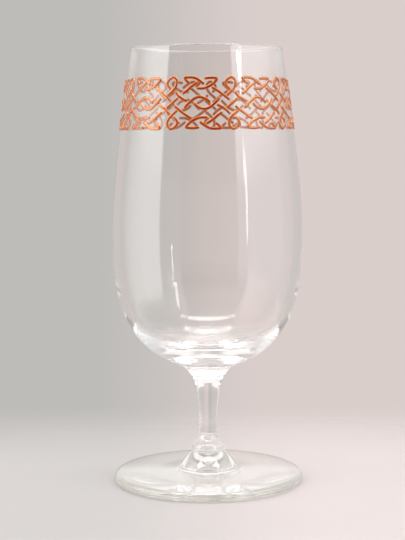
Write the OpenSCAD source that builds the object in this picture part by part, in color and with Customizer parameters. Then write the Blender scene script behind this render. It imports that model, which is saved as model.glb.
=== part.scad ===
// Stemmed beer glass: a blown bowl fused to a drawn stem, a beaded collar and a round foot.
// A band of interlaced enamel strands runs around the bowl below the rim.
// Lengths are in millimetres. Z is the axis of the glass, and the foot rests on Z = 0.
// The front of the glass faces -Y.

/* [Foot] */
// Diameter of the foot across its rounded edge
foot_d = 79.8; // [65:0.1:100]
// Thickness of the foot at its rounded edge
foot_edge_t = 3.9; // [2.5:0.1:5]
// Height above the table at which the boss rises from the foot
foot_crown_h = 5.4; // [5.1:0.1:7]
// Diameter of the boss where it rises from the foot
boss_d = 25.8; // [18:0.1:36]
// Diameter of the flat top of the boss, under the collar
boss_top_d = 12.6; // [9:0.1:13.4]
// Height of the top of the boss above the table
boss_h = 13; // [9:0.1:18]
// Diameter of the shallow hollow under the foot
hollow_d = 62; // [30:0.5:62]
// Depth of the hollow under the foot at its middle
hollow_depth = 1.2; // [0.4:0.1:2]

/* [Collar] */
// Diameter of the collar's bead
collar_d = 13.8; // [11:0.1:18]
// Height of the collar between the boss and the stem
collar_h = 6.5; // [4:0.1:10]

/* [Stem] */
// Diameter of the neck, where the stem meets the collar
neck_d = 7.5; // [5:0.1:9]
// Diameter of the stem's shaft
stem_d = 7.9; // [5:0.1:12]
// Length of the stem from the collar to the bowl
stem_l = 30.7; // [20:0.1:70]
// Length of the flare at the top of the stem
flare_l = 22.2; // [10:0.1:24]
// Diameter of the joint between the flare and the bowl
joint_d = 27.6; // [16:0.1:32]

/* [Bowl] */
// Height of the bowl from the stem to the rim
bowl_h = 131.8; // [100:0.1:180]
// Diameter of the bowl at the rim
rim_d = 63; // [50:0.1:90]
// Widest diameter of the bowl
belly_d = 79.6; // [66:0.1:100]
// Height of the widest place above the stem
belly_h = 55.8; // [45:0.1:75]
// Thickness of the wall at the widest place
wall_t = 2; // [1.2:0.1:3]
// Thickness of the rounded rim
rim_t = 1.5; // [0.8:0.1:2.5]
// Thickness of the bowl's bottom on the axis
bottom_t = 5.8; // [4:0.1:10]

/* [Knot band] */
// Distance from the rim down to the top of the band
band_drop = 12.1; // [4:0.1:30]
// Height of the band
band_h = 22.3; // [12:0.1:40]
// Number of times the knot repeats around the bowl
band_repeats = 9; // [6:1:11]
// Angle from the front of the glass to the first upper loop, towards +X
band_turn = 16.25; // [-180:0.25:180]
// Width of an enamel strand
strand_w = 0.95; // [0.5:0.05:1.3]
// Height of an enamel strand above the glass
strand_t = 0.3; // [0.1:0.05:0.8]

/* [Hidden] */
$fn = 96;

// Heights of the joints, stacked from the table up
stem_z = boss_h + collar_h;
bowl_z = stem_z + stem_l;
belly_z = bowl_z + belly_h;
rim_z = bowl_z + bowl_h;
floor_z = bowl_z + bottom_t;

// Sampling of the outlines: points on each curve, and on each quarter of a rounded edge
curve_steps = 8;
round_steps = 5;

// Gap that keeps the enamel just clear of the curved wall it lies on
seat_gap = 0.04;

// Control points of the outlines. Each curve is a chain of cubic Bezier pieces, and each point
// is [share of the radius, share of the height] between the two ends that its module names.
boss_shares = [[0, 0], [0.08, 0.2], [0.5, 0.57], [1, 1]];
bead_shares = [[0.81, 0], [1.03, 0.02], [1.06, 0.25], [0.81, 0.4]];
cove_shares = [[0.81, 0.4], [0.49, 0.6], [0, 0.68], [0, 1]];
shaft_shares = [[0, 0], [0, 0.3], [1, 0.4], [1, 1]];
flare_shares = [[0, 0], [0.01, 0.78], [0.44, 0.895], [1, 1]];
bowl_lower_shares = [[0, 0], [0.56, 0.1], [0.785, 0.29], [0.9, 0.48],
    [0.952, 0.566], [1, 0.75], [1, 1]];
bowl_upper_shares = [[0, 0], [0, 0.2], [0.42, 0.6], [1, 1]];
cavity_shares = [[0, 0], [0.66, 0], [1, 0.12], [1, 1]];
shaft_length_share = 0.6;

// The knot, as strokes of the strands between the places where they dive under one another.
// Each point is [share of one repeat's width, share of the band's height], with the upper
// loop at 0. The lower half of the knot is the upper half given half a turn.
loop_shares = [[-0.06, 0.65], [0.02, 0.73], [0.07, 0.8], [0.09, 0.88], [0.075, 0.94],
    [0.02, 0.98], [-0.05, 0.94], [-0.08, 0.88], [-0.07, 0.82], [-0.03, 0.775]];
link_shares = [[0.08, 0.69], [0.12, 0.64], [0.18, 0.59], [0.26, 0.54]];
lens_shares = [[0.4, 0.48], [0.45, 0.43], [0.51, 0.4], [0.57, 0.39], [0.63, 0.41],
    [0.68, 0.45], [0.74, 0.51], [0.8, 0.58]];
climb_shares = [[0.21, 0.68], [0.28, 0.74], [0.34, 0.8], [0.43, 0.87]];
right_leaf_shares = [[0.58, 0.955], [0.64, 0.965], [0.7, 0.965], [0.77, 0.95], [0.735, 0.89],
    [0.67, 0.83], [0.6, 0.79], [0.54, 0.77], [0.45, 0.77]];
left_leaf_shares = [[0.29, 0.88], [0.25, 0.92], [0.22, 0.965], [0.28, 0.975], [0.35, 0.975],
    [0.41, 0.96], [0.46, 0.93], [0.54, 0.86]];
descent_shares = [[0.7, 0.78], [0.77, 0.73], [0.87, 0.65], [0.96, 0.57]];
crossing_shares = [[-0.065, 0.42], [0.02, 0.5], [0.105, 0.58]];
half_turn_shares = [1.04, 1];
upper_strokes = [loop_shares, link_shares, lens_shares, climb_shares, right_leaf_shares,
    left_leaf_shares, descent_shares];

// Outline of a strand across its run, as [share of its width, share of its height]
strand_shares = [[-0.5, 0], [0.5, 0], [0.3, 1], [-0.3, 1]];
// Rings of that outline for each step between two points of a stroke
rings_per_point = 1.25;

// Point at t, from 0 to 1, on the cubic Bezier curve with the control points a to d
function bezier(a, b, c, d, t) =
    pow(1 - t, 3) * a + 3 * t * pow(1 - t, 2) * b + 3 * t * t * (1 - t) * c + pow(t, 3) * d;

// Point between the corners p and q, at the shares of radius and height given by s
function between(p, q, s) = [p.x + (q.x - p.x) * s.x, p.y + (q.y - p.y) * s.y];

// Points of a chain of Bezier pieces from the corner p to the corner q
function chain(shares, p, q) = [
    for (piece = [0 : 3 : len(shares) - 4], i = [0 : curve_steps])
        if (i > 0 || piece == 0)
            between(p, q, bezier(shares[piece], shares[piece + 1], shares[piece + 2],
                shares[piece + 3], i / curve_steps))
];

function reversed(points) = [for (i = [len(points) - 1 : -1 : 0]) points[i]];

// Points of a rounded edge about the centre c, with radii rx and ry, from one angle to another
function arc_points(c, rx, ry, from, to) = [
    for (i = [0 : 2 * round_steps])
        let (angle = from + (to - from) * i / (2 * round_steps))
        c + [rx * cos(angle), ry * sin(angle)]
];

// Outer wall of the bowl from the stem joint to the shoulder of the rim, as [radius, height]
bowl_outer = concat(
    chain(bowl_lower_shares, [joint_d / 2, bowl_z], [belly_d / 2, belly_z]),
    [for (i = [1 : curve_steps])
        chain(bowl_upper_shares, [belly_d / 2, belly_z], [rim_d / 2, rim_z - rim_t / 2])[i]]
);

// Inner wall of the bowl from the shoulder of the rim down to the axis
bowl_inner = concat(
    reversed(chain(bowl_upper_shares, [belly_d / 2 - wall_t, belly_z],
        [rim_d / 2 - rim_t, rim_z - rim_t / 2])),
    [for (i = [1 : curve_steps])
        reversed(chain(cavity_shares, [0, floor_z], [belly_d / 2 - wall_t, belly_z]))[i]]
);

// Radius of the outer wall at the height z
wall_table = [for (p = bowl_outer) [p.y, p.x]];
function wall_r(z) = lookup(z, wall_table);

// Round foot with a rounded edge, a low boss in the middle and a shallow hollow underneath
module foot() {
    edge_r = foot_edge_t / 2;
    color("gainsboro")
        rotate_extrude()
            polygon(concat(
                [[0, hollow_depth], [hollow_d / 4, hollow_depth * 3 / 4], [hollow_d / 2, 0]],
                arc_points([foot_d / 2 - edge_r, edge_r], edge_r, edge_r, -90, 90),
                chain(boss_shares, [boss_d / 2, foot_crown_h], [boss_top_d / 2, boss_h]),
                [[0, boss_h]]
            ));
}

// Collar between the boss and the stem: a rounded bead that runs into a hollow cove
module stem_collar() {
    low = [neck_d / 2, boss_h];
    high = [collar_d / 2, stem_z];
    color("gainsboro")
        rotate_extrude()
            polygon(concat(
                [[0, boss_h]],
                chain(bead_shares, low, high),
                [for (i = [1 : curve_steps]) chain(cove_shares, low, high)[i]],
                [[0, stem_z]]
            ));
}

// Solid stem: a short swelling above the neck, a plain shaft and a flare under the bowl
module stem() {
    flare_z = bowl_z - flare_l;
    shaft_z = stem_z + (flare_z - stem_z) * shaft_length_share;
    color("whitesmoke")
        rotate_extrude()
            polygon(concat(
                [[0, stem_z]],
                chain(shaft_shares, [neck_d / 2, stem_z], [stem_d / 2, shaft_z]),
                chain(flare_shares, [stem_d / 2, flare_z], [joint_d / 2, bowl_z]),
                [[0, bowl_z]]
            ));
}

// Blown bowl with a thick bottom, thin walls and a rounded rim
module bowl() {
    rim_r = rim_t / 2;
    color("aliceblue")
        rotate_extrude()
            polygon(concat(
                [[0, bowl_z]],
                bowl_outer,
                [for (i = [1 : 2 * round_steps - 1])
                    arc_points([rim_d / 2 - rim_r, rim_z - rim_r], rim_r, rim_r, 0, 180)[i]],
                bowl_inner
            ));
}

// Point on a stroke with the control points c, at t from 0 to 1, through every control point
function stroke_point(c, t) =
    let (
        last = len(c) - 1,
        i = min(floor(t * last), last - 1),
        s = t * last - i,
        a = c[max(i - 1, 0)],
        b = c[i],
        d = c[i + 1],
        e = c[min(i + 2, last)]
    )
    b + s * (d - a) / 2 + s * s * (2 * a - 5 * b + 4 * d - e) / 2
        + s * s * s * (3 * b - a - 3 * d + e) / 2;

// Place on the unrolled band, as [distance around the bowl, height], of a point in shares
function band_place(p) = [
    p.x * PI * wall_r(rim_z - band_drop - band_h / 2) * 2 / band_repeats,
    rim_z - band_drop - band_h + strand_w / 2 + p.y * (band_h - strand_w)
];

// Point in space at the place p of the unrolled band, at a height above the glass
function on_wall(p, turn, above) =
    let (
        angle = turn + p.x * 180 / (PI * wall_r(rim_z - band_drop - band_h / 2)),
        r = wall_r(p.y) + seat_gap + above
    )
    [r * sin(angle), -r * cos(angle), p.y];

// One enamel strand along the stroke c, which lies on the bowl's wall
module strand(c, turn) {
    rings = ceil((len(c) - 1) * rings_per_point);
    sides = len(strand_shares);
    path = [for (i = [0 : rings]) band_place(stroke_point(c, i / rings))];
    points = [
        for (i = [0 : rings])
            let (
                run = path[min(i + 1, rings)] - path[max(i - 1, 0)],
                across = [-run.y, run.x] / norm(run)
            )
            for (s = strand_shares)
                on_wall(path[i] + across * s.x * strand_w, turn, s.y * strand_t)
    ];
    polyhedron(points, concat(
        [[for (k = [0 : sides - 1]) k]],
        [[for (k = [sides - 1 : -1 : 0]) rings * sides + k]],
        [for (i = [0 : rings - 1], k = [0 : sides - 1], half = [0, 1])
            let (
                near = i * sides + k,
                near_next = i * sides + (k + 1) % sides,
                far = near + sides,
                far_next = near_next + sides
            )
            half == 0 ? [near, far, far_next] : [near, far_next, near_next]]
    ));
}

// Half a turn of a stroke about the middle of its repeat
function turned(c) = [for (p = c) half_turn_shares - p];

// Band of interlaced strands, each stroke a separate piece of enamel fused to the bowl
module knot_band() {
    color("chocolate")
        for (k = [0 : band_repeats - 1]) {
            turn = band_turn + k * 360 / band_repeats;
            strand(crossing_shares, turn);
            for (c = upper_strokes) {
                strand(c, turn);
                strand(turned(c), turn);
            }
        }
}

foot();
stem_collar();
stem();
bowl();
knot_band();
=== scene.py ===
"""Stemmed beer glass: clear blown glass with a raised band of interlaced enamel below the rim.

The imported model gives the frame. The bowl, the stem, its collar and the foot are lathed here from
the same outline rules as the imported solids, finely enough for clear glass, and the knot band is
swept along the same strokes as soft rounded enamel. Clear glass looks like what it mirrors and
bends, so the room is given all round, by direction. Lengths are in metres, Z is the glass's axis
and the front faces -Y.
"""

from __future__ import annotations

import logging
import math
from dataclasses import dataclass, field
from enum import Enum
from typing import ClassVar

import bmesh
import bpy
from mathutils import Euler, Matrix, Vector


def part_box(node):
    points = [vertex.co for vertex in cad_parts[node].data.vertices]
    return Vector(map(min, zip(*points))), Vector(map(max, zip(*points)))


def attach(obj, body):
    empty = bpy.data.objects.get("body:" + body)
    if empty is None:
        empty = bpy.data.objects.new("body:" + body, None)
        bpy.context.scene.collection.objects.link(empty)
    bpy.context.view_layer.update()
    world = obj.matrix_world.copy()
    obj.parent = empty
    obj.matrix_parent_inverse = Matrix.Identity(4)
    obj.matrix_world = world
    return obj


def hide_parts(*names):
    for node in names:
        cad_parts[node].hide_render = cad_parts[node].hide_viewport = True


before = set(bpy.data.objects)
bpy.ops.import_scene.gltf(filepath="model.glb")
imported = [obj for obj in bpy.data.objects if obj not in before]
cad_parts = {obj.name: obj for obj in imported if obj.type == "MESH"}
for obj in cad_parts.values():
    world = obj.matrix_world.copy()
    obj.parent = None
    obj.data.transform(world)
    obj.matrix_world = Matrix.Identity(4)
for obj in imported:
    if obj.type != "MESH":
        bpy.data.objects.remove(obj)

LOG = logging.getLogger("beer_glass")
MM = 0.001
ON_AXIS = 1e-9  # a smaller radius counts as on the axis
BOUNCES = 128  # light runs round many times inside the thick bottom

Colour = tuple[float, float, float]
Place = tuple[float, float, float]
Point = tuple[float, float]
Span = tuple[float, float]
Shares = tuple[Point, ...]


class Slot(Enum):
    """Material slots of the record."""

    GLASS = "clear_glass"
    ENAMEL = "orange_enamel"


class Face(Enum):
    """Kinds of face on a lathed glass piece, by material index."""

    POLISHED = 0
    FUSED = 1


class Side(Enum):
    """Sides of the glass, by the sign of a turn from the front."""

    LEFT = -1
    RIGHT = 1


def between(start: Point, end: Point, share: Point) -> Point:
    """Point at a share of the way from start to end, sideways and upwards."""
    return tuple(a + (b - a) * s for a, b, s in zip(start, end, share))


def weighted(weights: tuple[float, ...], points: Shares) -> Point:
    """Sum of the points, each times its weight."""
    return tuple(sum(w * p[axis] for w, p in zip(weights, points)) for axis in (0, 1))


def bezier(a: Point, b: Point, c: Point, d: Point, t: float) -> Point:
    """Point on the cubic Bezier curve with control points a to d, at t from 0 to 1."""
    weights = ((1 - t) ** 3, 3 * t * (1 - t) ** 2, 3 * t * t * (1 - t), t**3)
    return weighted(weights, (a, b, c, d))


def through(a: Point, b: Point, c: Point, d: Point, t: float) -> Point:
    """Find a point on the smooth curve that runs through four points (Catmull-Rom).

    Args:
        a: Point before the stretch.
        b: Start of the stretch.
        c: End of the stretch.
        d: Point after the stretch.
        t: Place along the stretch, from 0 to 1.

    Returns:
        The point at t.
    """
    weights = (
        (-t + 2 * t * t - t**3) / 2,
        (2 - 5 * t * t + 3 * t**3) / 2,
        (t + 4 * t * t - 3 * t**3) / 2,
        (t**3 - t * t) / 2,
    )
    return weighted(weights, (a, b, c, d))


def chain(shares: Shares, start: Point, end: Point, steps: int) -> list[Point]:
    """Sample a chain of Bezier pieces between two corners of an outline.

    Args:
        shares: Control points, each as (share of radius, share of height) between the corners.
        start: Corner at share (0, 0), as (radius, height).
        end: Corner at share (1, 1), as (radius, height).
        steps: Points on each Bezier piece.

    Returns:
        Points of the outline from start to end, as (radius, height).
    """
    points = [between(start, end, shares[0])]
    for first in range(0, len(shares) - 3, 3):
        controls = shares[first : first + 4]
        points += [between(start, end, bezier(*controls, i / steps)) for i in range(1, steps + 1)]
    return points


def arc(centre: Point, radius: float, start: float, end: float, steps: int) -> list[Point]:
    """Points on an arc from one angle to another, in degrees, both ends included."""
    angles = (math.radians(start + (end - start) * i / steps) for i in range(steps + 1))
    return [(centre[0] + radius * math.cos(a), centre[1] + radius * math.sin(a)) for a in angles]


class Bench:
    """Adds and links the nodes of one node tree."""

    def __init__(self, tree: bpy.types.NodeTree) -> None:
        """Keep the tree."""
        self.tree = tree

    def add(self, kind: str, *first: object, **inputs: object) -> bpy.types.Node:
        """Add a node and set or link its inputs.

        Args:
            kind: Blender's name of the node type.
            *first: Values or output sockets for the first inputs, in order.
            **inputs: Values or output sockets by input name, with _ for a space.

        Returns:
            The new node.
        """
        node = self.tree.nodes.new(kind)
        for socket, value in zip(node.inputs, first):
            self.feed(socket, value)
        for name, value in inputs.items():
            self.feed(node.inputs[name.replace("_", " ")], value)
        return node

    def feed(self, socket: bpy.types.NodeSocket, value: object) -> None:
        """Link or set an input.

        Args:
            socket: The input.
            value: An output socket, which is linked, or a plain value, which is set.
        """
        if isinstance(value, bpy.types.NodeSocket):
            self.tree.links.new(value, socket)
        else:
            socket.default_value = value

    def operate(self, kind: str, operation: str, *operands: object) -> bpy.types.Node:
        """Add a node that works on its first inputs.

        Args:
            kind: Blender's name of the node type.
            operation: Blender's name of the operation.
            *operands: Values or sockets, in order.

        Returns:
            The node.
        """
        node = self.add(kind, *operands)
        node.operation = operation
        return node

    def maths(self, operation: str, *operands: object) -> bpy.types.NodeSocket:
        """Work on numbers, and give the result's socket."""
        return self.operate("ShaderNodeMath", operation, *operands).outputs[0]

    def vectors(self, operation: str, *operands: object) -> bpy.types.Node:
        """Work on vectors, and give the node."""
        return self.operate("ShaderNodeVectorMath", operation, *operands)

    def product(self, *masks: bpy.types.NodeSocket) -> bpy.types.NodeSocket:
        """Multiply masks.

        Args:
            *masks: The masks.

        Returns:
            The mask of where all of them are 1.
        """
        result = masks[0]
        for mask in masks[1:]:
            result = self.maths("MULTIPLY", result, mask)
        return result

    def inverse(self, mask: bpy.types.NodeSocket) -> bpy.types.NodeSocket:
        """Turn a mask round: 1 where it is 0."""
        return self.maths("SUBTRACT", 1.0, mask)

    def span(self, mask: bpy.types.NodeSocket, low: float, high: float) -> bpy.types.NodeSocket:
        """Map a mask from 0 and 1 to low and high."""
        return self.add("ShaderNodeMapRange", Value=mask, To_Min=low, To_Max=high).outputs[0]

    def fade(self, value: bpy.types.NodeSocket, start: float, end: float) -> bpy.types.NodeSocket:
        """Rise smoothly from 0 to 1.

        Args:
            value: What the mask depends on.
            start: Value at which the mask is 0, above or below end.
            end: Value at which the mask is 1.

        Returns:
            The mask.
        """
        node = self.add("ShaderNodeMapRange", Value=value, From_Min=start, From_Max=end)
        node.interpolation_type = "SMOOTHSTEP"
        return node.outputs[0]

    def step(self, value: bpy.types.NodeSocket, at: float, soft: float) -> bpy.types.NodeSocket:
        """Rise from 0 to 1 over soft to both sides of a value, or fall if soft is negative."""
        return self.fade(value, at - soft, at + soft)

    def bump(
        self, height: bpy.types.NodeSocket, strength: float, depth: float
    ) -> bpy.types.NodeSocket:
        """Bend the surface by a height from 0 to 1, which stands for depth in metres."""
        bend = self.add("ShaderNodeBump", Strength=strength, Distance=depth, Height=height)
        return bend.outputs[0]

    def blend(
        self, mask: object, low: object, high: object, how: str = "MIX"
    ) -> bpy.types.NodeSocket:
        """Blend two colours by a mask.

        Args:
            mask: Share of the second colour, from 0 to 1, a number or a socket.
            low: Colour where the mask is 0, a colour or a socket.
            high: Colour where the mask is 1, a colour or a socket.
            how: Blender's name of the way to blend.

        Returns:
            The blended colour's socket.
        """
        node = self.tree.nodes.new("ShaderNodeMix")
        node.data_type = "RGBA"
        node.blend_type = how
        self.feed(node.inputs["Factor"], mask)
        sockets = [s for s in node.inputs if s.type == "RGBA"]
        for socket, colour in zip(sockets, (low, high)):
            is_socket = isinstance(colour, bpy.types.NodeSocket)
            self.feed(socket, colour if is_socket else (*colour, 1))
        return next(s for s in node.outputs if s.type == "RGBA")


class DriftGroup:
    """The shared effect: a slow drift over a surface, from noise in the object's own place."""

    NAME: ClassVar[str] = "surface_drift"
    INPUTS: ClassVar[tuple[str, ...]] = ("Scale", "Stretch", "Contrast")
    OUTPUTS: ClassVar[tuple[str, ...]] = ("Mask", "Height")
    DETAIL: ClassVar[float] = 3.0
    MIDDLE: ClassVar[float] = 0.5

    @classmethod
    def get(cls) -> bpy.types.NodeTree:
        """Build the group once.

        Returns:
            The group, with inputs Scale, Stretch and Contrast and outputs Mask and Height.
        """
        tree = bpy.data.node_groups.get(cls.NAME)
        if tree is not None:
            return tree
        tree = bpy.data.node_groups.new(cls.NAME, "ShaderNodeTree")
        for in_out, names in (("INPUT", cls.INPUTS), ("OUTPUT", cls.OUTPUTS)):
            for name in names:
                tree.interface.new_socket(name, in_out=in_out, socket_type="NodeSocketFloat")
        bench = Bench(tree)
        given = bench.add("NodeGroupInput").outputs
        place = bench.add("ShaderNodeTexCoord").outputs["Object"]
        squeeze = bench.add("ShaderNodeCombineXYZ", X=1.0, Y=1.0, Z=given["Stretch"])
        noise = bench.add(
            "ShaderNodeTexNoise",
            Vector=bench.vectors("MULTIPLY", place, squeeze.outputs[0]).outputs[0],
            Scale=given["Scale"],
            Detail=cls.DETAIL,
        )
        height = noise.outputs[0]
        centred = bench.maths("SUBTRACT", height, cls.MIDDLE)
        scaled = bench.maths("MULTIPLY", centred, given["Contrast"])
        mask = bench.maths("ADD", scaled, cls.MIDDLE)
        mask.node.use_clamp = True
        bench.add("NodeGroupOutput", Mask=mask, Height=height)
        return tree

    @classmethod
    def place(
        cls, bench: Bench, scale: float, stretch: float = 1.0, contrast: float = 1.0
    ) -> bpy.types.Node:
        """Place the group in a material.

        Args:
            bench: The material's nodes.
            scale: Noise cells to a metre.
            stretch: How much faster the noise runs along the axis than across it.
            contrast: How strongly the mask leaves its middle value.

        Returns:
            The group node, with outputs Mask and Height.
        """
        node = bench.add("ShaderNodeGroup")
        node.node_tree = cls.get()
        for name, value in zip(cls.INPUTS, (scale, stretch, contrast)):
            node.inputs[name].default_value = value
        return node


def new_material(name: str) -> tuple[bpy.types.Material, Bench]:
    """Start an empty material.

    Args:
        name: The material's name.

    Returns:
        The material and a bench for its nodes.
    """
    material = bpy.data.materials.new(name)
    material.use_nodes = True
    material.node_tree.nodes.clear()
    return material, Bench(material.node_tree)


def add_object(name: str, data: bpy.types.ID) -> bpy.types.Object:
    """Put an object into the scene.

    Args:
        name: The object's name.
        data: Its mesh, lamp or camera.

    Returns:
        The object.
    """
    made = bpy.data.objects.new(name, data)
    bpy.context.scene.collection.objects.link(made)
    return made


def add_mesh(
    name: str, work: bmesh.types.BMesh, *materials: bpy.types.Material
) -> bpy.types.Object:
    """Put a finished mesh into the scene.

    Args:
        name: Name of the object and its mesh.
        work: The mesh, which is freed.
        *materials: Its materials, in the order of the faces' index.

    Returns:
        The object.
    """
    mesh = bpy.data.meshes.new(name)
    work.to_mesh(mesh)
    work.free()
    for material in materials:
        mesh.materials.append(material)
    return add_object(name, mesh)


@dataclass(frozen=True)
class ClearGlass:
    """Fire-polished soda-lime glass with faint cords, which lets light through to the table.

    A tint is what one face takes from what is seen through it, and a shade is what it takes from
    the light that falls through to the table. The two that are named for the edge come in between
    the two distances from the axis that edge gives.
    """

    name: str
    tint: Colour = (0.98, 0.97, 0.965)
    cord_tint: Colour = (0.99, 0.98, 0.975)
    shade: Colour = (0.975, 0.98, 0.97)
    edge_tint: Colour = (0.98, 0.97, 0.965)
    edge_shade: Colour = (0.975, 0.98, 0.97)
    edge: Span = (1.0, 1.1)
    ior: float = 1.52
    smooth: float = 0.0
    dull: float = 0.02
    cord_scale: float = 60.0
    cord_stretch: float = 0.35
    cord_contrast: float = 2.0
    ripple: float = 0.05
    ripple_depth: float = 0.05 * MM

    def material(self) -> bpy.types.Material:
        """Build the glass.

        Returns:
            The material.
        """
        material, bench = new_material(self.name)
        drift = DriftGroup.place(bench, self.cord_scale, self.cord_stretch, self.cord_contrast)
        mask = drift.outputs["Mask"]
        near_edge = bench.fade(self._from_axis(bench), *self.edge)
        body = bench.blend(mask, self.tint, self.cord_tint)
        glass = bench.add(
            "ShaderNodeBsdfPrincipled",
            Base_Color=bench.blend(near_edge, body, self.edge_tint),
            Roughness=bench.span(mask, self.smooth, self.dull),
            IOR=self.ior,
            Transmission_Weight=1.0,
            Normal=bench.bump(drift.outputs["Height"], self.ripple, self.ripple_depth),
        )
        shade = bench.blend(near_edge, self.shade, self.edge_shade)
        clear = bench.add("ShaderNodeBsdfTransparent", Color=shade)
        path = bench.add("ShaderNodeLightPath").outputs
        passing = bench.maths("MAXIMUM", path["Is Shadow Ray"], path["Is Diffuse Ray"])
        mix = bench.add("ShaderNodeMixShader", passing, glass.outputs[0], clear.outputs[0])
        bench.add("ShaderNodeOutputMaterial", Surface=mix.outputs[0])
        return material

    def _from_axis(self, bench: Bench) -> bpy.types.NodeSocket:
        """Find how far a point of the surface is from the axis.

        Args:
            bench: The material's nodes.

        Returns:
            The distance in metres.
        """
        place = bench.add("ShaderNodeTexCoord").outputs["Object"]
        flat = bench.vectors("MULTIPLY", place, (1, 1, 0))
        return bench.vectors("LENGTH", flat.outputs[0]).outputs["Value"]


@dataclass(frozen=True)
class FusedFace:
    """The face where two gathers are fused: the glass runs on through it, so nothing shows."""

    name: str = "fused_face"

    def material(self) -> bpy.types.Material:
        """Build the unseen face.

        Returns:
            The material.
        """
        material, bench = new_material(self.name)
        clear = bench.add("ShaderNodeBsdfTransparent")
        bench.add("ShaderNodeOutputMaterial", Surface=clear.outputs[0])
        return material


@dataclass(frozen=True)
class FiredEnamel:
    """Glossy burnt-orange enamel, fired on: deep where it pooled, paler along its thinner edges,
    where the paler colour is partly a painted highlight.

    The strands' mesh says how thick the enamel is, from 0 to 1, in the attribute named MASK.
    """

    MASK: ClassVar[str] = "pooled"

    name: str = "fired_enamel"
    deep: Colour = (0.4, 0.026, 0.0)
    bright: Colour = (0.6, 0.06, 0.002)
    # paler colour of the strands' edges: partly thinner enamel, partly a painted highlight
    thin_and_highlight: Colour = (0.82, 0.25, 0.05)
    pooled_from: float = 0.55
    pooled_to: float = 0.92
    ior: float = 2.2
    specular: float = 0.56
    lustre: Colour = (1.0, 0.7, 0.38)
    grain_scale: float = 500.0
    contrast: float = 2.2
    smooth: float = 0.12
    dull: float = 0.25
    coat: float = 0.1
    coat_roughness: float = 0.08
    bump: float = 0.25
    bump_depth: float = 0.04 * MM

    def material(self) -> bpy.types.Material:
        """Build the enamel.

        Returns:
            The material.
        """
        material, bench = new_material(self.name)
        drift = DriftGroup.place(bench, self.grain_scale, contrast=self.contrast)
        mask = drift.outputs["Mask"]
        pooled = bench.add("ShaderNodeAttribute")
        pooled.attribute_name = self.MASK
        body = bench.blend(mask, self.deep, self.bright)
        thick = bench.fade(pooled.outputs["Fac"], self.pooled_from, self.pooled_to)
        skin = bench.add(
            "ShaderNodeBsdfPrincipled",
            # the edges take the paler colour, which is partly a painted highlight
            Base_Color=bench.blend(thick, self.thin_and_highlight, body),
            Roughness=bench.span(mask, self.smooth, self.dull),
            IOR=self.ior,
            Specular_IOR_Level=self.specular,
            Specular_Tint=(*self.lustre, 1),
            Coat_Weight=self.coat,
            Coat_Roughness=self.coat_roughness,
            Normal=bench.bump(drift.outputs["Height"], self.bump, self.bump_depth),
        )
        bench.add("ShaderNodeOutputMaterial", Surface=skin.outputs[0])
        return material


@dataclass(frozen=True)
class PaleFloor:
    """Plain pale matt floor, a little brighter to the right by painted light, that fades out into
    the backdrop.

    The tone turns from left to right over side to both sides of the axis, paler to the right as
    painted light. The floor is solid and then gone at these half widths of a rounded square, whose
    middle is at centre_y.
    """

    name: str = "pale_floor"
    # left and right tones: the paler right is painted light
    left: Colour = (0.612, 0.583, 0.572)
    right: Colour = (0.765, 0.684, 0.676)
    grain: Colour = (0.96, 0.96, 0.96)
    grain_scale: float = 40.0
    side: float = 0.05
    centre_y: float = -0.08
    solid: float = 0.105
    gone: float = 0.25
    squareness: float = 4.0
    roughness: float = 0.9
    specular: float = 0.1

    def material(self) -> bpy.types.Material:
        """Build the floor's paint.

        Returns:
            The material.
        """
        material, bench = new_material(self.name)
        place = bench.add("ShaderNodeTexCoord").outputs["Object"]
        axes = bench.add("ShaderNodeSeparateXYZ", Vector=place).outputs
        # painted light: the floor turns paler towards the right
        tone = bench.blend(bench.step(axes["X"], 0.0, self.side), self.left, self.right)
        grained = bench.blend(1.0, tone, self.grain, "MULTIPLY")
        drift = DriftGroup.place(bench, self.grain_scale)
        paint = bench.add(
            "ShaderNodeBsdfPrincipled",
            Base_Color=bench.blend(drift.outputs["Mask"], tone, grained),
            Roughness=self.roughness,
            Specular_IOR_Level=self.specular,
        )
        powers = [
            bench.maths("POWER", bench.maths("ABSOLUTE", part), self.squareness)
            for part in (axes["X"], bench.maths("SUBTRACT", axes["Y"], self.centre_y))
        ]
        reach = bench.maths("POWER", bench.maths("ADD", *powers), 1 / self.squareness)
        past = bench.fade(reach, self.solid, self.gone)
        clear = bench.add("ShaderNodeBsdfTransparent")
        mix = bench.add("ShaderNodeMixShader", past, paint.outputs[0], clear.outputs[0])
        bench.add("ShaderNodeOutputMaterial", Surface=mix.outputs[0])
        return material


@dataclass
class Piece:
    """A piece of the glass, which stands for a CAD node."""

    name: str
    node: str

    def build(self) -> bpy.types.Object:
        """Build and dress the piece."""
        raise NotImplementedError

    def place(
        self, work: bmesh.types.BMesh, slot: Slot, *materials: bpy.types.Material
    ) -> bpy.types.Object:
        """Turn a finished mesh into the piece.

        Args:
            work: The mesh, which is freed.
            slot: The record's slot that the finish belongs to; not used.
            *materials: Its materials.

        Returns:
            The piece, riding on the root body in place of its CAD node.
        """
        bmesh.ops.recalc_face_normals(work, faces=work.faces)
        piece = add_mesh(self.name, work, *materials)
        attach(piece, "root")
        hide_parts(self.node)
        return piece


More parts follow.
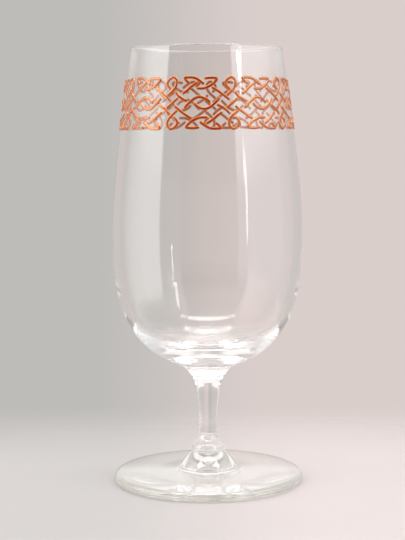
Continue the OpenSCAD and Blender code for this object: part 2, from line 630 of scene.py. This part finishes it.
@dataclass
class LathedPiece(Piece):
    """A closed glass piece turned about the axis.

    FUSED says whether the first and the last step of its outline are fused to the next piece.
    """

    FUSED: ClassVar[tuple[bool, bool]] = (True, True)

    glass: ClearGlass
    fused: bpy.types.Material
    turns: int = 256
    steps: int = 20

    def heights(self) -> Span:
        """Lowest and highest height of the CAD node that this piece stands for."""
        low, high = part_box(self.node)
        return low.z, high.z

    def outline(self) -> list[Point]:
        """Outline from the axis at the bottom round to the axis at the top."""
        raise NotImplementedError

    def build(self) -> bpy.types.Object:
        """Turn the outline about the axis and dress the piece.

        Returns:
            The piece.
        """
        work = bmesh.new()
        rings = [self._ring(work, point) for point in self.outline()]
        kinds = [Face.POLISHED] * (len(rings) - 1)
        for end, is_fused in zip((0, -1), self.FUSED):
            if is_fused:
                kinds[end] = Face.FUSED
        for low, high, kind in zip(rings, rings[1:], kinds):
            self._bridge(work, low, high, kind)
        return self.place(work, Slot.GLASS, self.glass.material(), self.fused)

    def _ring(self, work: bmesh.types.BMesh, point: Point) -> list[bmesh.types.BMVert]:
        """Make the vertices of one point of the outline.

        Args:
            work: The mesh being made.
            point: The point, as (radius, height).

        Returns:
            The vertices round the axis, or a single one if the point is on it.
        """
        radius, height = point
        if radius < ON_AXIS:
            return [work.verts.new((0, 0, height))]
        step = math.tau / self.turns
        return [
            work.verts.new((radius * math.cos(k * step), radius * math.sin(k * step), height))
            for k in range(self.turns)
        ]

    def _bridge(
        self,
        work: bmesh.types.BMesh,
        low: list[bmesh.types.BMVert],
        high: list[bmesh.types.BMVert],
        kind: Face,
    ) -> None:
        """Join two rings with faces.

        Args:
            work: The mesh being made.
            low: Vertices of the first ring.
            high: Vertices of the second ring.
            kind: What the faces are.
        """
        for k in range(self.turns):
            after = (k + 1) % self.turns
            corners = [low[k % len(low)], low[after % len(low)]]
            corners += [high[after % len(high)], high[k % len(high)]]
            unique = list(dict.fromkeys(corners))
            face = work.faces.new(unique)
            face.material_index = kind.value
            face.smooth = kind is Face.POLISHED


@dataclass
class Foot(LathedPiece):
    """Round foot: a rounded edge, a crowned top, a boss, and a shallow hollow underneath."""

    FUSED: ClassVar[tuple[bool, bool]] = (False, True)

    edge_t: float = 3.9 * MM
    crown_h: float = 5.4 * MM
    boss_d: float = 25.8 * MM
    boss_top_d: float = 12.6 * MM
    hollow_d: float = 62 * MM
    hollow_depth: float = 1.2 * MM
    boss_shares: Shares = ((0, 0), (0.08, 0.2), (0.5, 0.57), (1, 1))

    def outline(self) -> list[Point]:
        """Run from the middle of the hollow, round the edge, to the middle of the boss.

        Returns:
            The outline, as (radius, height).
        """
        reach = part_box(self.node)[1]
        edge_r = self.edge_t / 2
        shares = [i / self.steps for i in range(self.steps + 1)]
        hollow = [
            (self.hollow_d / 2 * s, self.hollow_depth * (1 + math.cos(math.pi * s)) / 2)
            for s in shares
        ]
        edge = arc((reach.x - edge_r, edge_r), edge_r, -90, 90, self.steps)
        boss_foot, boss_top = (self.boss_d / 2, self.crown_h), (self.boss_top_d / 2, reach.z)
        top = [between(edge[-1], boss_foot, (s, s)) for s in shares[1:-1]]
        boss = chain(self.boss_shares, boss_foot, boss_top, self.steps)
        return [*hollow, *edge, *top, *boss, (0, reach.z)]


@dataclass
class StemCollar(LathedPiece):
    """Beaded ring between the boss and the stem, running into a cove."""

    bead_d: float = 13.8 * MM
    neck_d: float = 7.5 * MM
    bead_shares: Shares = ((0.81, 0), (1.03, 0.02), (1.06, 0.25), (0.81, 0.4))
    cove_shares: Shares = ((0.81, 0.4), (0.49, 0.6), (0, 0.68), (0, 1))

    def outline(self) -> list[Point]:
        """Run from the boss, over the bead and up the cove, to the stem.

        Returns:
            The outline, as (radius, height).
        """
        low, high = self.heights()
        start, end = (self.neck_d / 2, low), (self.bead_d / 2, high)
        bead = chain(self.bead_shares, start, end, self.steps)
        cove = chain(self.cove_shares, start, end, self.steps)
        return [(0, low), *bead, *cove[1:], (0, high)]


@dataclass
class Stem(LathedPiece):
    """Drawn rod: a short swelling above the neck, a plain shaft and a flare under the bowl."""

    neck_d: float = 7.5 * MM
    shaft_d: float = 7.9 * MM
    flare_l: float = 22.2 * MM
    joint_d: float = 27.6 * MM
    shaft_length_share: float = 0.6
    flare_steps: int = 40
    shaft_shares: Shares = ((0, 0), (0, 0.3), (1, 0.4), (1, 1))
    flare_shares: Shares = ((0, 0), (0.01, 0.78), (0.44, 0.895), (1, 1))

    def outline(self) -> list[Point]:
        """Run from the collar, up the shaft and out along the flare, to the bowl.

        Returns:
            The outline, as (radius, height).
        """
        low, high = self.heights()
        flare_z = high - self.flare_l
        shaft_r = self.shaft_d / 2
        shaft_top = (shaft_r, low + (flare_z - low) * self.shaft_length_share)
        joint = (self.joint_d / 2, high)
        shaft = chain(self.shaft_shares, (self.neck_d / 2, low), shaft_top, self.steps)
        flare = chain(self.flare_shares, (shaft_r, flare_z), joint, self.flare_steps)
        return [(0, low), *shaft, *flare, (0, high)]


@dataclass
class Bowl(LathedPiece):
    """Blown bowl: a thick bottom, thin walls and a fire-polished rim."""

    FUSED: ClassVar[tuple[bool, bool]] = (True, False)

    joint_d: float = 27.6 * MM
    rim_d: float = 63 * MM
    belly_h: float = 55.8 * MM
    wall_t: float = 2 * MM
    rim_t: float = 1.5 * MM
    bottom_t: float = 5.8 * MM
    wall_steps: int = 40
    cavity_steps: int = 60
    lower_shares: Shares = (
        (0, 0),
        (0.56, 0.1),
        (0.785, 0.29),
        (0.9, 0.48),
        (0.952, 0.566),
        (1, 0.75),
        (1, 1),
    )
    upper_shares: Shares = ((0, 0), (0, 0.2), (0.42, 0.6), (1, 1))
    cavity_shares: Shares = ((0, 0), (0.66, 0), (1, 0.12), (1, 1))

    def corners(self) -> tuple[Point, Point, Point]:
        """Find the corners of the outer wall.

        Returns:
            The joint, the belly and the shoulder of the rim, as (radius, height).
        """
        low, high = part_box(self.node)
        belly = (high.x, low.z + self.belly_h)
        return (self.joint_d / 2, low.z), belly, (self.rim_d / 2, high.z - self.rim_t / 2)

    def outer(self) -> list[Point]:
        """Run up the outer wall.

        Returns:
            Points from the joint to the shoulder of the rim, as (radius, height).
        """
        joint, belly, shoulder = self.corners()
        lower = chain(self.lower_shares, joint, belly, self.wall_steps)
        return lower + chain(self.upper_shares, belly, shoulder, self.wall_steps)[1:]

    def outline(self) -> list[Point]:
        """Run from the joint, up the outer wall, over the rim and down the inner wall.

        Returns:
            The outline, as (radius, height).
        """
        joint, belly, shoulder = self.corners()
        inner_belly = (belly[0] - self.wall_t, belly[1])
        inner_shoulder = (shoulder[0] - self.rim_t, shoulder[1])
        inner = chain(self.upper_shares, inner_belly, inner_shoulder, self.wall_steps)
        bottom = (0, joint[1] + self.bottom_t)
        cavity = chain(self.cavity_shares, bottom, inner_belly, self.cavity_steps)
        below = inner[-2]
        lean = math.atan2(below[0] - inner_shoulder[0], inner_shoulder[1] - below[1])
        rim_r = self.rim_t / 2
        middle = (shoulder[0] - rim_r, shoulder[1])
        start = math.degrees(lean)
        rim = arc(middle, rim_r * math.cos(lean), start, start + 180, self.steps)
        walls = [*reversed(inner[:-1]), *reversed(cavity[:-1])]
        return [(0, joint[1]), *self.outer(), *rim, *walls]


@dataclass
class KnotBand(Piece):
    """Band of interlaced enamel strands. Each stroke ends where it dives under another.

    A stroke is a tuple of points, each (share of one repeat's width, share of the band's
    height), with the upper loop at 0. The lower half of the knot is the upper half given half
    a turn about the middle. Lift is how far a strand's edges stand off the wall, and bed how far
    its underside does. Cap_end is the share of a step that stays open at the tip of a strand's
    rounded end, where a small face closes it.
    """

    wall: list[Point]
    rim_z: float = field(init=False)
    middle_r: float = field(init=False)
    enamel: FiredEnamel = FiredEnamel()
    repeats: int = 9
    turn_deg: float = 16.25
    drop: float = 12.1 * MM
    height: float = 22.3 * MM
    strand_w: float = 1.25 * MM
    strand_t: float = 0.36 * MM
    lift: float = 0.02 * MM
    bed: float = 0.012 * MM
    bed_points: Shares = ((-0.9, 0.5), (-0.5, 0.84), (0.5, 0.84), (0.9, 0.5))
    roundness: float = 0.8
    cap_end: float = 0.3
    rings_per_point: int = 4
    cap_rings: int = 4
    crown_points: int = 7
    middle: Point = (0.52, 0.5)
    crossing: Shares = ((-0.065, 0.42), (0.02, 0.5), (0.105, 0.58))
    loop: Shares = (
        (-0.06, 0.65), (0.02, 0.73), (0.07, 0.8), (0.09, 0.88), (0.075, 0.94),
        (0.02, 0.98), (-0.05, 0.94), (-0.08, 0.88), (-0.07, 0.82), (-0.03, 0.775),
    )
    link: Shares = ((0.08, 0.69), (0.12, 0.64), (0.18, 0.59), (0.26, 0.54))
    lens: Shares = (
        (0.4, 0.48), (0.45, 0.43), (0.51, 0.4), (0.57, 0.39),
        (0.63, 0.41), (0.68, 0.45), (0.74, 0.51), (0.8, 0.58),
    )
    climb: Shares = ((0.21, 0.68), (0.28, 0.74), (0.34, 0.8), (0.43, 0.87))
    right_leaf: Shares = (
        (0.58, 0.955), (0.64, 0.965), (0.7, 0.965), (0.77, 0.95), (0.735, 0.89),
        (0.67, 0.83), (0.6, 0.79), (0.54, 0.77), (0.45, 0.77),
    )
    left_leaf: Shares = (
        (0.29, 0.88), (0.25, 0.92), (0.22, 0.965), (0.28, 0.975),
        (0.35, 0.975), (0.41, 0.96), (0.46, 0.93), (0.54, 0.86),
    )
    descent: Shares = ((0.7, 0.78), (0.77, 0.73), (0.87, 0.65), (0.96, 0.57))

    def __post_init__(self) -> None:
        """Find the rim's height, and the wall's radius at the middle of the band."""
        self.rim_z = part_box("bowl")[1].z
        self.middle_r = self.wall_radius(self.rim_z - self.drop - self.height / 2)

    def upper_strokes(self) -> tuple[Shares, ...]:
        """Strokes of the knot's upper half."""
        leaves = (self.right_leaf, self.left_leaf)
        return (self.loop, self.link, self.lens, self.climb, *leaves, self.descent)

    def wall_radius(self, height: float) -> float:
        """Radius of the bowl's outer wall at a height.

        Args:
            height: Height above the table.

        Returns:
            The radius, between the outline's points by straight lines.
        """
        for (r_low, z_low), (r_high, z_high) in zip(self.wall, self.wall[1:]):
            if z_low <= height <= z_high:
                return r_low + (r_high - r_low) * (height - z_low) / (z_high - z_low)
        return self.wall[-1][0]

    def build(self) -> bpy.types.Object:
        """Sweep every stroke and dress the band.

        Returns:
            The piece.
        """
        work = bmesh.new()
        work.verts.layers.float.new(FiredEnamel.MASK)
        middle_x, middle_y = self.middle
        for k in range(self.repeats):
            turn = math.radians(self.turn_deg) + math.tau * k / self.repeats
            self._strand(work, self.crossing, turn)
            for stroke in self.upper_strokes():
                turned = tuple((2 * middle_x - x, 2 * middle_y - y) for x, y in stroke)
                self._strand(work, stroke, turn)
                self._strand(work, turned, turn)
        return self.place(work, Slot.ENAMEL, self.enamel.material())

    def _path(self, stroke: Shares) -> list[Point]:
        """Smooth path through a stroke's points, on the unrolled band in metres.

        Args:
            stroke: The stroke's points, in shares.

        Returns:
            Points as (distance round the wall, height).
        """
        last = len(stroke) - 1
        count = last * self.rings_per_point
        repeat_w = math.tau * self.middle_r / self.repeats
        low = self.rim_z - self.drop - self.height + self.strand_w / 2
        corners = ((0, low), (repeat_w, low + self.height - self.strand_w))
        path = []
        for n in range(count + 1):
            t = n / count * last
            i = min(int(t), last - 1)
            near = (stroke[max(i - 1, 0)], stroke[i], stroke[i + 1], stroke[min(i + 2, last)])
            path.append(between(*corners, through(*near, t - i)))
        return path

    def _on_wall(self, place: Point, turn: float, above: float) -> Vector:
        """Place in space of a point of the unrolled band, at a distance above the glass."""
        angle, radius = turn + place[0] / self.middle_r, self.wall_radius(place[1]) + above
        return Vector((radius * math.sin(angle), -radius * math.cos(angle), place[1]))

    def _stations(self, last: int) -> list[tuple[int, float, float]]:
        """Place the rings of a strand, along its path and round both of its ends.

        Args:
            last: Index of the path's last point.

        Returns:
            Each ring's point of the path, its distance past that point in half widths of the
            strand, and its share of the full width and height.
        """
        leans = [
            math.pi / 2 * (c + 1) / (self.cap_rings + self.cap_end) for c in range(self.cap_rings)
        ]
        first_cap = [(0, -math.sin(lean), math.cos(lean)) for lean in reversed(leans)]
        last_cap = [(last, math.sin(lean), math.cos(lean)) for lean in leans]
        return [*first_cap, *((i, 0.0, 1.0) for i in range(last + 1)), *last_cap]

    def _strand(self, work: bmesh.types.BMesh, stroke: Shares, turn: float) -> None:
        """Sweep one rounded strand along a stroke, with rounded ends.

        Args:
            work: The mesh being made.
            stroke: The stroke's points, in shares.
            turn: Angle of the repeat from the front, in radians.
        """
        path = self._path(stroke)
        last = len(path) - 1
        mask = work.verts.layers.float[FiredEnamel.MASK]
        rings = []
        for i, ahead, fullness in self._stations(last):
            before, after = path[max(i - 1, 0)], path[min(i + 1, last)]
            run = Vector((after[0] - before[0], after[1] - before[1])).normalized()
            across = Vector((-run.y, run.x))
            centre = Vector(path[i]) + run * ahead * self.strand_w / 2
            ring = []
            for place, pooled in self._section(centre, across, fullness, turn):
                vert = work.verts.new(place)
                vert[mask] = pooled
                ring.append(vert)
            rings.append(ring)
        for one, other in zip(rings, rings[1:]):
            for k in range(len(one)):
                after_k = (k + 1) % len(one)
                face = work.faces.new((one[k], one[after_k], other[after_k], other[k]))
                face.smooth = True
        work.faces.new(rings[0])
        work.faces.new(list(reversed(rings[-1])))

    def _section(
        self, centre: Vector, across: Vector, fullness: float, turn: float
    ) -> list[tuple[Vector, float]]:
        """One ring of a strand: a low crown over a flat bed on the wall.

        Args:
            centre: Middle of the ring on the unrolled band.
            across: Direction across the strand.
            fullness: Share of the full width and height.
            turn: Angle of the repeat from the front, in radians.

        Returns:
            The ring's points, each with how thick the enamel is there, from 0 to 1.
        """
        half = self.strand_w / 2 * fullness
        ring = []
        for k in range(self.crown_points + 1):
            lean = math.pi * k / self.crown_points
            place = centre + across * half * math.cos(lean)
            pooled = fullness * math.sin(lean) ** self.roundness
            above = self.lift + self.strand_t * pooled
            ring.append((self._on_wall((place.x, place.y), turn, above), pooled))
        for share, pooled in self.bed_points:
            place = centre + across * half * share
            ring.append((self._on_wall((place.x, place.y), turn, self.bed), pooled * fullness))
        return ring


class Ray:
    """A ray that ends in the room: where it goes and what kind it is, each as a socket.

    Turn is in degrees from the front to the right, aside is the same to either side, and rise is
    in degrees above level. Ahead is how far it goes towards the front. Passed is 1 for a ray that
    has come through glass, and pictured for one that shows the room as a picture: from the
    camera, mirrored or through glass.
    """

    def __init__(self, bench: Bench) -> None:
        """Add the nodes that tell the ray's direction and kind.

        Args:
            bench: The world's nodes.
        """
        self.bench = bench
        way = bench.add("ShaderNodeTexCoord").outputs["Generated"]
        self.axes = bench.add("ShaderNodeSeparateXYZ", Vector=way).outputs
        self.ahead = bench.maths("MULTIPLY", self.axes["Y"], -1.0)
        self.turn = bench.maths("DEGREES", bench.maths("ARCTAN2", self.axes["X"], self.ahead))
        self.aside = bench.maths("ABSOLUTE", self.turn)
        self.rise = bench.maths("DEGREES", bench.maths("ARCSINE", self.axes["Z"]))
        path = bench.add("ShaderNodeLightPath").outputs
        self.camera = path["Is Camera Ray"]
        self.passed = path["Is Transmission Ray"]
        glossy = path["Is Glossy Ray"]
        self.mirrored = bench.product(glossy, bench.inverse(self.passed))
        self.pictured = bench.maths(
            "MAXIMUM", self.camera, bench.maths("MAXIMUM", glossy, self.passed)
        )


@dataclass(frozen=True)
class Panel:
    """A tall soft panel of light beside the glass. Turns and rises are in degrees.

    It is sharp at the edge nearest the front and fades out behind. Light is what it shows low
    down, high_light what it shows above the rises in brighter, and passed_light what is seen of it
    through the glass.
    """

    side: Side
    edge: float
    fade_from: float
    fade_to: float
    light: Colour
    high_light: Colour
    passed_light: Colour
    brighter: Span = (2.0, 24.0)
    foot: Span = (-45.0, -12.0)
    head: Span = (62.0, 42.0)
    edge_soft: float = 1.5

    def tone(self, ray: Ray) -> bpy.types.NodeSocket:
        """Colour of the panel, which brightens from its foot to its head."""
        high_up = ray.bench.fade(ray.rise, *self.brighter)
        return ray.bench.blend(high_up, self.light, self.high_light)

    def mask(self, ray: Ray) -> bpy.types.NodeSocket:
        """Find where the panel is seen.

        Args:
            ray: The ray.

        Returns:
            1 on the panel and 0 off it.
        """
        bench = ray.bench
        away = bench.maths("MULTIPLY", ray.turn, float(self.side.value))
        return bench.product(
            bench.step(away, self.edge, self.edge_soft),
            bench.fade(away, self.fade_to, self.fade_from),
            bench.fade(ray.rise, *self.foot),
            bench.fade(ray.rise, *self.head),
        )


@dataclass(frozen=True)
class Strip:
    """A slim upright strip of light, in degrees. Each pair is for its foot and its head.

    Turn is where its middle is, rise how high its ends are and half its half widths.
    """

    turn: Span
    rise: Span
    half: Span
    light: Colour
    soft: float = 1.0
    end_soft: float = 1.0

    def mask(self, ray: Ray) -> bpy.types.NodeSocket:
        """Find where the strip is seen.

        Args:
            ray: The ray.

        Returns:
            1 on the strip and 0 off it.
        """
        bench = ray.bench
        foot, head = self.rise
        up = bench.add("ShaderNodeMapRange", Value=ray.rise, From_Min=foot, From_Max=head)
        middle = bench.span(up.outputs[0], *self.turn)
        half = bench.span(up.outputs[0], *self.half)
        aside = bench.maths("ABSOLUTE", bench.maths("SUBTRACT", ray.turn, middle))
        return bench.product(
            bench.step(bench.maths("SUBTRACT", aside, half), 0.0, -self.soft / 2),
            bench.step(ray.rise, foot, self.end_soft),
            bench.step(ray.rise, head, -self.end_soft),
        )


@dataclass(frozen=True)
class Overhead:
    """A long lamp overhead, from side to side. Places are shares of its height above the glass.

    Least_up keeps the shares finite for a ray that is level or goes down.
    """

    ahead: Span = (0.14, 0.36)
    aside: float = 0.62
    soft: float = 0.03
    least_up: float = 0.03
    light: Colour = (13, 13, 13)

    def mask(self, ray: Ray) -> bpy.types.NodeSocket:
        """Find where the lamp is seen.

        Args:
            ray: The ray.

        Returns:
            1 on the lamp and 0 off it.
        """
        bench = ray.bench
        near, far = self.ahead
        up = bench.maths("MAXIMUM", ray.axes["Z"], self.least_up)
        ahead = bench.maths("DIVIDE", ray.ahead, up)
        aside = bench.maths("ABSOLUTE", bench.maths("DIVIDE", ray.axes["X"], up))
        return bench.product(
            bench.step(ahead, near, self.soft),
            bench.step(ahead, far, -self.soft),
            bench.step(aside, self.aside, -self.soft),
        )


@dataclass
class Room:
    """The room that lights the glass: pale all round, with soft panels at both sides.

    A colour of 1 is white. A pair is where a tone fades in, in degrees: from the front for a turn,
    above level for a rise, and across the backdrop for side and even_from. The camera sees the
    backdrop and the panels, no brighter than pale, and so does a ray through the glass below the
    rises in high. Above them such a ray sees the whole room, with a dark front and a glow behind
    that leaves a gap straight behind. Matt is the share of the room that lights matt surfaces.
    """

    # backdrop tones: the paler right is painted light
    left: Colour = (0.515, 0.503, 0.485)
    right: Colour = (0.70, 0.617, 0.597)
    side: Span = (-5.0, 3.0)
    even: Colour = (0.6, 0.56, 0.54)
    even_from: Span = (8.5, 20.0)
    high: Span = (5.5, 8.5)
    front: Colour = (0.5, 0.47, 0.45)
    front_passed: Colour = (0.16, 0.15, 0.14)
    front_gloss: Colour = (0.08, 0.07, 0.065)
    front_turn: Span = (100.0, 60.0)
    behind: Colour = (1.05, 1.03, 1.02)
    behind_turn: Span = (110.0, 145.0)
    behind_rise: Span = (5.5, 8.5)
    gap_turn: Span = (163.0, 172.0)
    gap_rise: Span = (14.5, 10.5)
    ceiling: Colour = (1.1, 1.12, 1.12)
    ceiling_rise: Span = (45.0, 70.0)
    pale: Colour = (0.92, 0.92, 0.92)
    matt: float = 0.55
    overhead: Overhead = Overhead()
    panels: tuple[Panel, ...] = (
        Panel(
            side=Side.LEFT,
            edge=58.5,
            fade_from=75.0,
            fade_to=128.0,
            light=(3.8, 3.75, 3.65),
            high_light=(4.8, 4.75, 4.7),
            passed_light=(1.6, 1.55, 1.5),
        ),
        Panel(
            side=Side.RIGHT,
            edge=37.5,
            fade_from=60.0,
            fade_to=150.0,
            light=(0.85, 0.9, 0.93),
            high_light=(3.4, 3.5, 3.5),
            passed_light=(1.15, 1.18, 1.2),
            brighter=(5.0, 16.0),
        ),
    )
    strips: tuple[Strip, ...] = (
        Strip((48.5, 50.0), (15.5, 19.0), (0.3, 4.5), (11, 11, 11), end_soft=0.5),
        Strip((54.0, 54.0), (8.5, 14.5), (4.0, 5.5), (2.0, 2.0, 2.0), soft=3.0, end_soft=2.0),
        Strip((48.0, 49.0), (-5.0, 10.0), (1.0, 1.4), (9, 9, 9), end_soft=2.5),
        Strip((-42.6, -42.6), (-11.2, -5.9), (0.4, 0.5), (16, 16, 15.4), soft=0.4, end_soft=0.6),
        Strip((-41.0, -42.6), (-15.0, -11.0), (0.2, 0.2), (1.5, 1.5, 1.4), soft=0.5),
    )

    def build(self) -> None:
        """Make the world."""
        world = bpy.data.worlds.new("room")
        world.use_nodes = True
        world.node_tree.nodes.clear()
        bench = Bench(world.node_tree)
        ray = Ray(bench)
        seen = self._backdrop(ray)
        tone = self._walls(ray, seen)
        for panel in self.panels:
            mask = panel.mask(ray)
            shine = panel.tone(ray)
            tone = bench.blend(mask, tone, bench.blend(ray.passed, shine, panel.passed_light))
            seen = bench.blend(mask, seen, shine)
        tone = bench.blend(bench.fade(ray.rise, *self.ceiling_rise), tone, self.ceiling)
        for lamp in (*self.strips, self.overhead):
            tone = bench.blend(lamp.mask(ray), tone, lamp.light)
        seen = bench.blend(1.0, seen, self.pale, "DARKEN")
        level = bench.inverse(bench.fade(ray.rise, *self.high))
        plain = bench.maths("MAXIMUM", ray.camera, bench.product(ray.passed, level))
        light = bench.add(
            "ShaderNodeBackground",
            Color=bench.blend(plain, tone, seen),
            Strength=bench.span(ray.pictured, self.matt, 1.0),
        )
        bench.add("ShaderNodeOutputWorld", Surface=light.outputs[0])
        bpy.context.scene.world = world

    def _backdrop(self, ray: Ray) -> bpy.types.NodeSocket:
        """Paint the backdrop: darker at the left, paler at the right as painted light, and even
        further out.

        Args:
            ray: The ray.

        Returns:
            The backdrop's colour.
        """
        bench = ray.bench
        across = bench.maths("DEGREES", ray.axes["X"])
        # painted light: the backdrop turns paler towards the right
        tone = bench.blend(bench.fade(across, *self.side), self.left, self.right)
        wide = bench.fade(bench.maths("ABSOLUTE", across), *self.even_from)
        return bench.blend(wide, tone, self.even)

    def _walls(self, ray: Ray, backdrop: bpy.types.NodeSocket) -> bpy.types.NodeSocket:
        """Paint the room round the backdrop: the glow behind, and the front.

        Args:
            ray: The ray.
            backdrop: The backdrop's colour.

        Returns:
            The room's colour, without its lights.
        """
        bench = ray.bench
        front = bench.blend(ray.passed, self.front, self.front_passed)
        front = bench.blend(ray.mirrored, front, self.front_gloss)
        gap = bench.product(
            bench.fade(ray.aside, *self.gap_turn), bench.fade(ray.rise, *self.gap_rise)
        )
        glow = bench.product(
            bench.fade(ray.aside, *self.behind_turn),
            bench.fade(ray.rise, *self.behind_rise),
            bench.inverse(gap),
        )
        tone = bench.blend(glow, backdrop, self.behind)
        return bench.blend(bench.fade(ray.aside, *self.front_turn), tone, front)


@dataclass
class Studio:
    """The pale floor, the room, a glint and the camera.

    The names that end in px are measured on the photograph. The glint is a slim low lamp at the
    front left, which only shows as a mirrored glint on the glass.
    """

    image_h_px: float = 540.0
    focal_px: float = 1403.86
    axis_right_px: float = 4.95
    sensor: float = 36.0
    distance: float = 587.8 * MM
    camera_h: float = 148.15 * MM
    pitch_deg: float = 5.695
    roll_deg: float = 0.315
    floor_gap: float = 0.2 * MM
    floor_half: float = 0.32
    floor_cells: int = 8
    glint_at: Place = (-82 * MM, -122 * MM, 34 * MM)
    glint_aim: Place = (-12 * MM, -36 * MM, 83 * MM)
    glint_size: Point = (8 * MM, 46 * MM)
    glint_light: float = 7.0
    glint_colour: Colour = (1.0, 0.98, 0.88)

    def build(self) -> None:
        """Make the floor, the room, the glint and the camera."""
        self._floor()
        Room().build()
        self._glint()
        self._camera()

    def _floor(self) -> None:
        """Lay the floor as a sheet of square cells."""
        work = bmesh.new()
        cells = self.floor_cells
        bmesh.ops.create_grid(work, x_segments=cells, y_segments=cells, size=self.floor_half)
        bmesh.ops.translate(work, verts=work.verts, vec=(0, 0, -self.floor_gap))
        add_mesh("floor_sheet", work, PaleFloor().material())

    def _glint(self) -> None:
        """Stand the slim low lamp at the front left."""
        data = bpy.data.lights.new("low_glint", "AREA")
        data.shape = "ELLIPSE"
        data.size, data.size_y = self.glint_size
        area = math.pi / 4 * data.size * data.size_y
        data.energy = self.glint_light * math.pi * area
        data.color = self.glint_colour
        lamp = add_object("low_glint", data)
        lamp.location = self.glint_at
        aim = Vector(self.glint_aim) - Vector(self.glint_at)
        lamp.rotation_euler = aim.to_track_quat("-Z", "Y").to_euler()
        lamp.visible_camera = lamp.visible_diffuse = lamp.visible_transmission = False

    def _camera(self) -> None:
        """Set up the camera at the photograph's viewing angle."""
        data = bpy.data.cameras.new("camera")
        data.sensor_width = self.sensor
        data.lens = self.focal_px * self.sensor / self.image_h_px
        camera = add_object("camera", data)
        yaw = math.atan(self.axis_right_px / self.focal_px)
        tilt = Euler((math.radians(90 - self.pitch_deg), 0, yaw)).to_matrix()
        roll = Matrix.Rotation(-math.radians(self.roll_deg), 3, "Z")
        camera.rotation_euler = (tilt @ roll).to_euler()
        camera.location = (0, -self.distance, self.camera_h)
        bpy.context.scene.camera = camera


def main() -> None:
    """Build the glass piece by piece, and the studio round it."""
    logging.basicConfig(level=logging.INFO, format="%(message)s")
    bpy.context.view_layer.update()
    fused = FusedFace().material()
    foot_glass = ClearGlass(
        "foot_glass",
        tint=(0.985, 0.988, 0.972),
        shade=(0.995, 0.995, 0.99),
        edge_tint=(0.86, 0.865, 0.81),
        edge_shade=(0.65, 0.65, 0.63),
        edge=(37.6 * MM, 39.4 * MM),
    )
    # darker tint on the collar's glass: painted shade, which dims the collar
    collar_glass_painted_shade = ClearGlass("collar_glass_painted_shade", tint=(0.93, 0.92, 0.915))
    bowl = Bowl("blown_bowl", "bowl", ClearGlass("bowl_glass"), fused)
    parts = (
        Foot("round_foot", "foot", foot_glass, fused),
        StemCollar("beaded_collar", "stem_collar", collar_glass_painted_shade, fused),
        Stem("drawn_stem", "stem", ClearGlass("stem_glass"), fused),
        bowl,
        KnotBand("enamel_band", "knot_band", bowl.outer()),
    )
    for part in parts:
        piece = part.build()
        LOG.info("%s: %d faces", piece.name, len(piece.data.polygons))
    Studio().build()
    scene = bpy.context.scene
    scene.view_settings.view_transform = "Standard"
    cycles = scene.cycles
    cycles.max_bounces = cycles.transmission_bounces = BOUNCES
    cycles.glossy_bounces = cycles.transparent_max_bounces = BOUNCES


if __name__ == "__main__":
    main()
